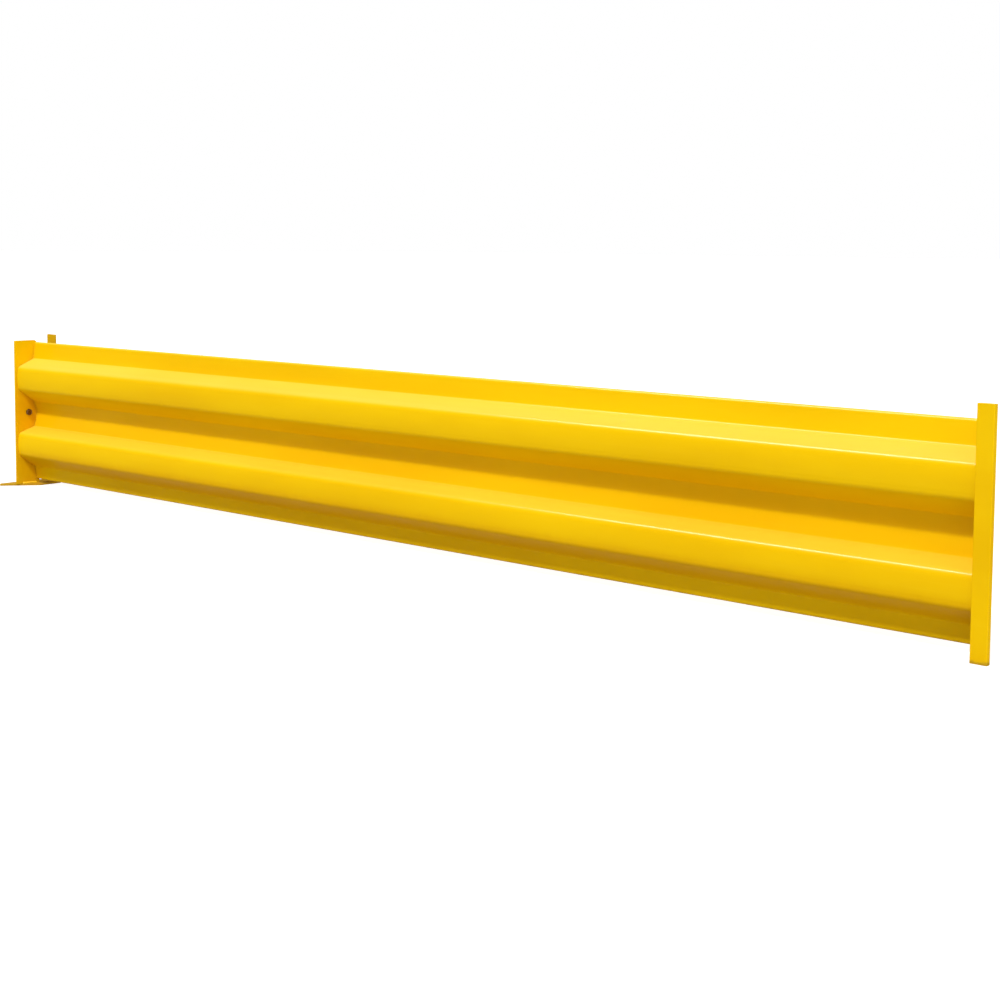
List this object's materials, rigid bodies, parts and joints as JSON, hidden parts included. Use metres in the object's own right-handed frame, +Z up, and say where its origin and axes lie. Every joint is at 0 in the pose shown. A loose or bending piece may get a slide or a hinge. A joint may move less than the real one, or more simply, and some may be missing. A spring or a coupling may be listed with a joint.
{
  "type": "guard rail section",
  "caption": "Straight guard rail section: a double-rib formed steel rail between an end plate with a foot and a rear upright, and an end bar.",
  "frame": {"origin": "on the floor, under the middle of the section's bounding box", "axes": "+X along the rail to the end bar, +Y to the back, away from the ribs' crests, +Z up"},
  "size_m": [2.4094, 0.1256, 0.3495],
  "materials": {
    "yellow_paint": "gloss safety yellow powder coat",
    "bare_steel": "dull zinc-plated steel, darkened"
  },
  "bodies": {
    "root": {"rail_beam": "yellow_paint", "left_end_plate": "yellow_paint", "right_end_bar": "yellow_paint", "right_end_plate": "yellow_paint", "left_foot": "yellow_paint", "rear_upright": "yellow_paint", "left_rail_weld": "yellow_paint", "right_rail_weld": "yellow_paint", "bar_weld": "yellow_paint", "foot_weld": "yellow_paint", "upright_weld": "yellow_paint", "end_bolt": "bare_steel", "end_washer": "bare_steel", "end_nut": "bare_steel"}
  },
  "joints": []
}
